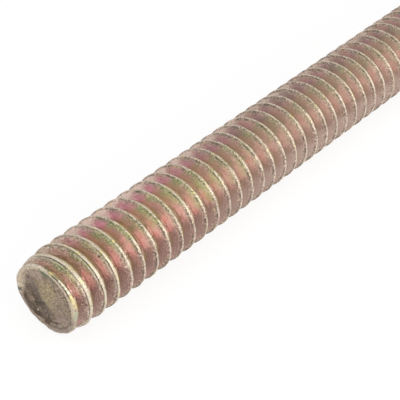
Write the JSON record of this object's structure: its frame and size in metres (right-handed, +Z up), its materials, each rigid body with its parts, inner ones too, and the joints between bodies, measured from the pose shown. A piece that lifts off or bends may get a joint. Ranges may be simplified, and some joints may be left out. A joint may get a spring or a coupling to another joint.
{
  "type": "threaded rod",
  "caption": "Short steel rod with a coarse right-hand thread from end to end, one lipped and cupped end and one plain cut end, in yellow passivated zinc.",
  "frame": {"origin": "centre of the lipped, cupped end, on the rod's axis", "axes": "+X along the rod, from the lipped end to the plain cut end; +Z up as the rod lies"},
  "size_m": [0.0509, 0.0046, 0.0046],
  "materials": {
    "passivated_steel": "zinc plated and yellow passivated, satin, with brown, rose and green tints"
  },
  "bodies": {
    "root": {"threaded_rod": "passivated_steel"}
  },
  "joints": []
}
